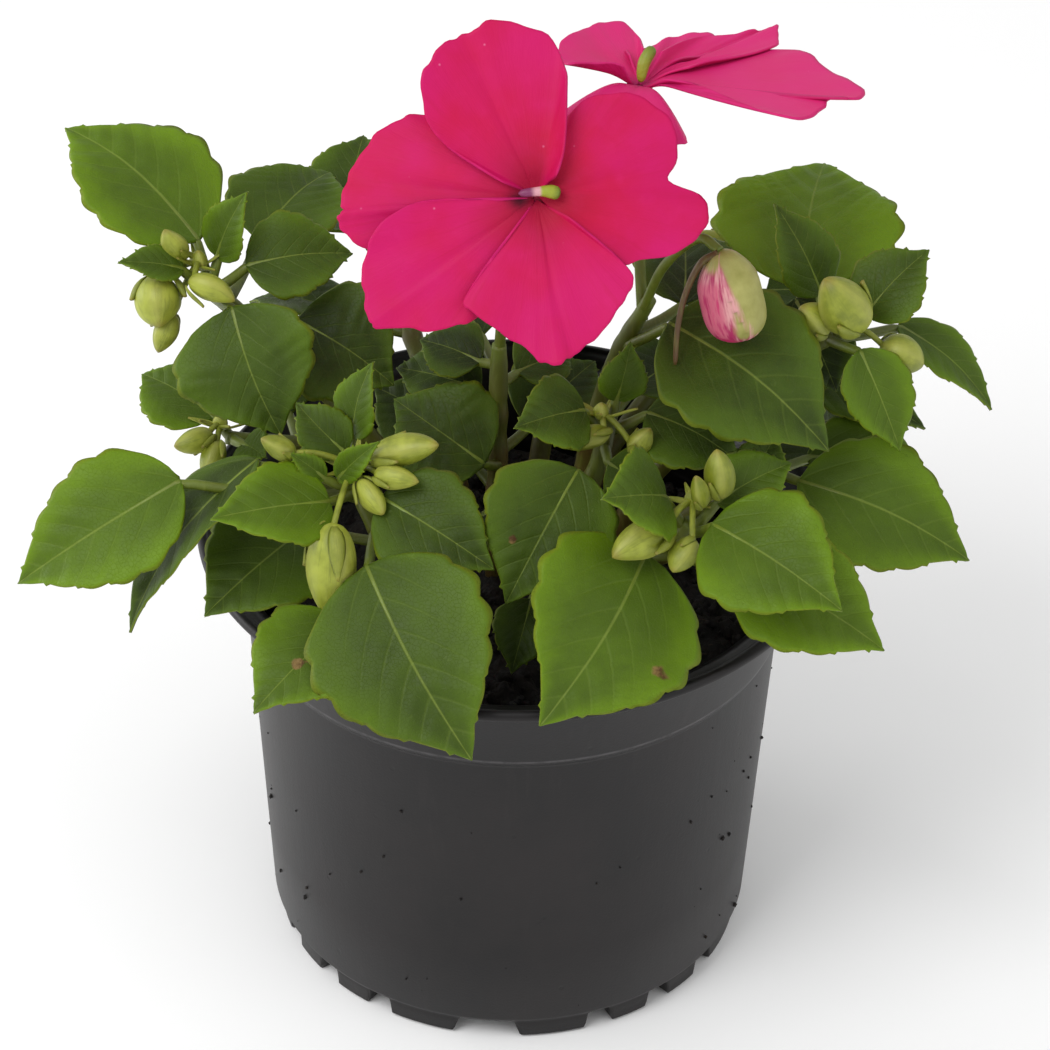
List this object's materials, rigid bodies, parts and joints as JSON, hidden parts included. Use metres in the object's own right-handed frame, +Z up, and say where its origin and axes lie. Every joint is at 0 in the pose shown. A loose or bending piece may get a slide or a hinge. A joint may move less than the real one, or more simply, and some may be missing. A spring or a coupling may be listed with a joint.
{
  "type": "busy lizzie in a pot",
  "caption": "Potted busy lizzie with toothed green leaves, pale green bud bunches and open cerise flowers, in a round dark nursery pot.",
  "frame": {"origin": "middle of the pot's foot, on the surface that the pot stands on", "axes": "+Z up along the pot's axis, -Y towards the side that the picture shows, +X to that viewer's right"},
  "size_m": [0.1574, 0.1206, 0.175],
  "materials": {
    "pot": "matt dark grey moulded plastic with a soft sheen",
    "compost": "damp, dark and crumbly",
    "leaf": "soft green leaf with a faint waxy sheen",
    "bud": "pale yellow-green, smooth",
    "petal": "velvety cerise petal",
    "opening_petal": "pale green and pink, smooth"
  },
  "bodies": {
    "root": {"pot": "pot", "soil": "compost", "shoot_main": "leaf", "shoot_left_upper": "leaf", "shoot_left_low": "leaf", "shoot_left_front": "leaf", "shoot_centre": "leaf", "shoot_right_mid": "leaf", "shoot_right_front": "leaf", "shoot_right_low": "leaf", "shoot_right_upper": "leaf", "shoot_back_left": "leaf", "shoot_back_mid": "leaf", "shoot_back_right": "leaf", "buds_left_upper": "bud", "buds_left_low": "bud", "buds_left_front": "bud", "buds_centre": "bud", "buds_right_front": "bud", "buds_right_upper": "bud", "buds_back_left": "bud", "buds_back_mid": "bud", "buds_back_right": "bud", "petals_front": "petal", "petals_rear": "petal", "petals_opening": "opening_petal"}
  },
  "joints": []
}
